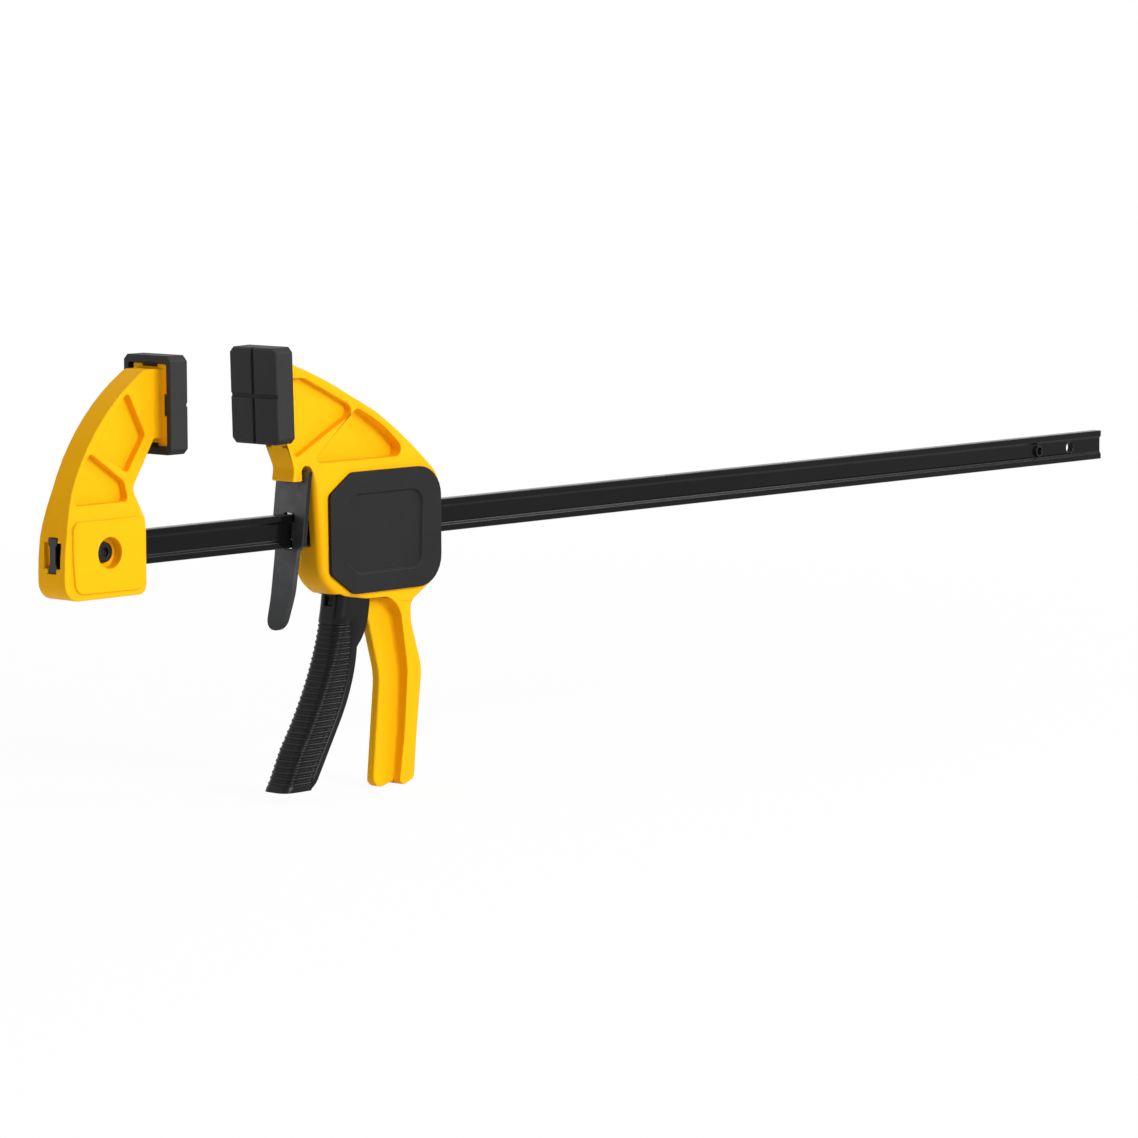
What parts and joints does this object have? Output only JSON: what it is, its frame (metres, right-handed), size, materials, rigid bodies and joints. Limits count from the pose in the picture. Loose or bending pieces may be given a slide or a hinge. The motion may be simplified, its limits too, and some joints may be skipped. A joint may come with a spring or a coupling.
{
  "type": "quick release bar clamp",
  "caption": "Trigger bar clamp with a fixed jaw, a sliding head with a squeeze trigger, soft jaw pads and a release lever on a steel I-section bar.",
  "frame": {"origin": "on the centreline of the bar, in the plane of the fixed pad's clamping face", "axes": "+X along the bar from the fixed jaw towards the bar's tail, +Z from the bar up to the pads, +Y across the clamp towards the cover on the left when looking along the bar towards its tail"},
  "size_m": [0.8448, 0.034, 0.2347],
  "materials": {
    "yellow_moulding": "satin yellow glass-filled nylon",
    "pad_rubber": "matte dark grey soft moulding",
    "cover_plastic": "matte charcoal moulding",
    "trigger_plastic": "semi-gloss black moulding with fine ribs",
    "bar_steel": "gloss black baked coating",
    "black_steel": "blackened steel",
    "lever_steel": "dark hardened steel plate",
    "zinc_steel": "zinc plated steel",
    "spring_steel": "spring wire"
  },
  "bodies": {
    "bar": {"bar": "bar_steel", "stop_pin": "black_steel", "fixed_jaw": "yellow_moulding", "fixed_jaw_screw": "black_steel", "fixed_jaw_nut": "zinc_steel", "fixed_jaw_pad": "pad_rubber"},
    "head": {"housing": "yellow_moulding", "moving_jaw_pad": "pad_rubber", "cover_left": "cover_plastic", "cover_right": "cover_plastic", "trigger_pin": "zinc_steel", "drive_spring": "spring_steel", "release_spring": "spring_steel"},
    "trigger": {"trigger": "trigger_plastic"},
    "release_lever": {"release_lever": "lever_steel"},
    "drive_plates": {"drive_plate_1": "lever_steel", "drive_plate_2": "lever_steel", "drive_plate_3": "lever_steel"}
  },
  "joints": [
    {"name": "head_slide", "type": "slide", "parent": "bar", "child": "head", "axis": [1, 0, 0], "range_m": [-0.0593, 0.5185]},
    {"name": "trigger_pivot", "type": "hinge", "parent": "head", "child": "trigger", "pos_m": [0.14, 0, 0.0165], "axis": [0, -1, 0], "range_deg": [0, 14], "stiffness_Nm_per_rad": 0.8, "springref_deg": -17.19, "deforming": ["drive_spring"]},
    {"name": "drive_plate_slide", "type": "slide", "parent": "head", "child": "drive_plates", "axis": [1, 0, 0], "range_m": [0, 0.0082]},
    {"name": "release_pivot", "type": "hinge", "parent": "head", "child": "release_lever", "pos_m": [0.08895, 0, 0.0306], "axis": [0, -1, 0], "range_deg": [0, 5], "stiffness_Nm_per_rad": 1, "springref_deg": -8.59, "deforming": ["release_spring"]}
  ],
  "couplings": [
    {"joint": "drive_plate_slide", "follows": "trigger_pivot", "m_per_rad": 0.0333}
  ]
}
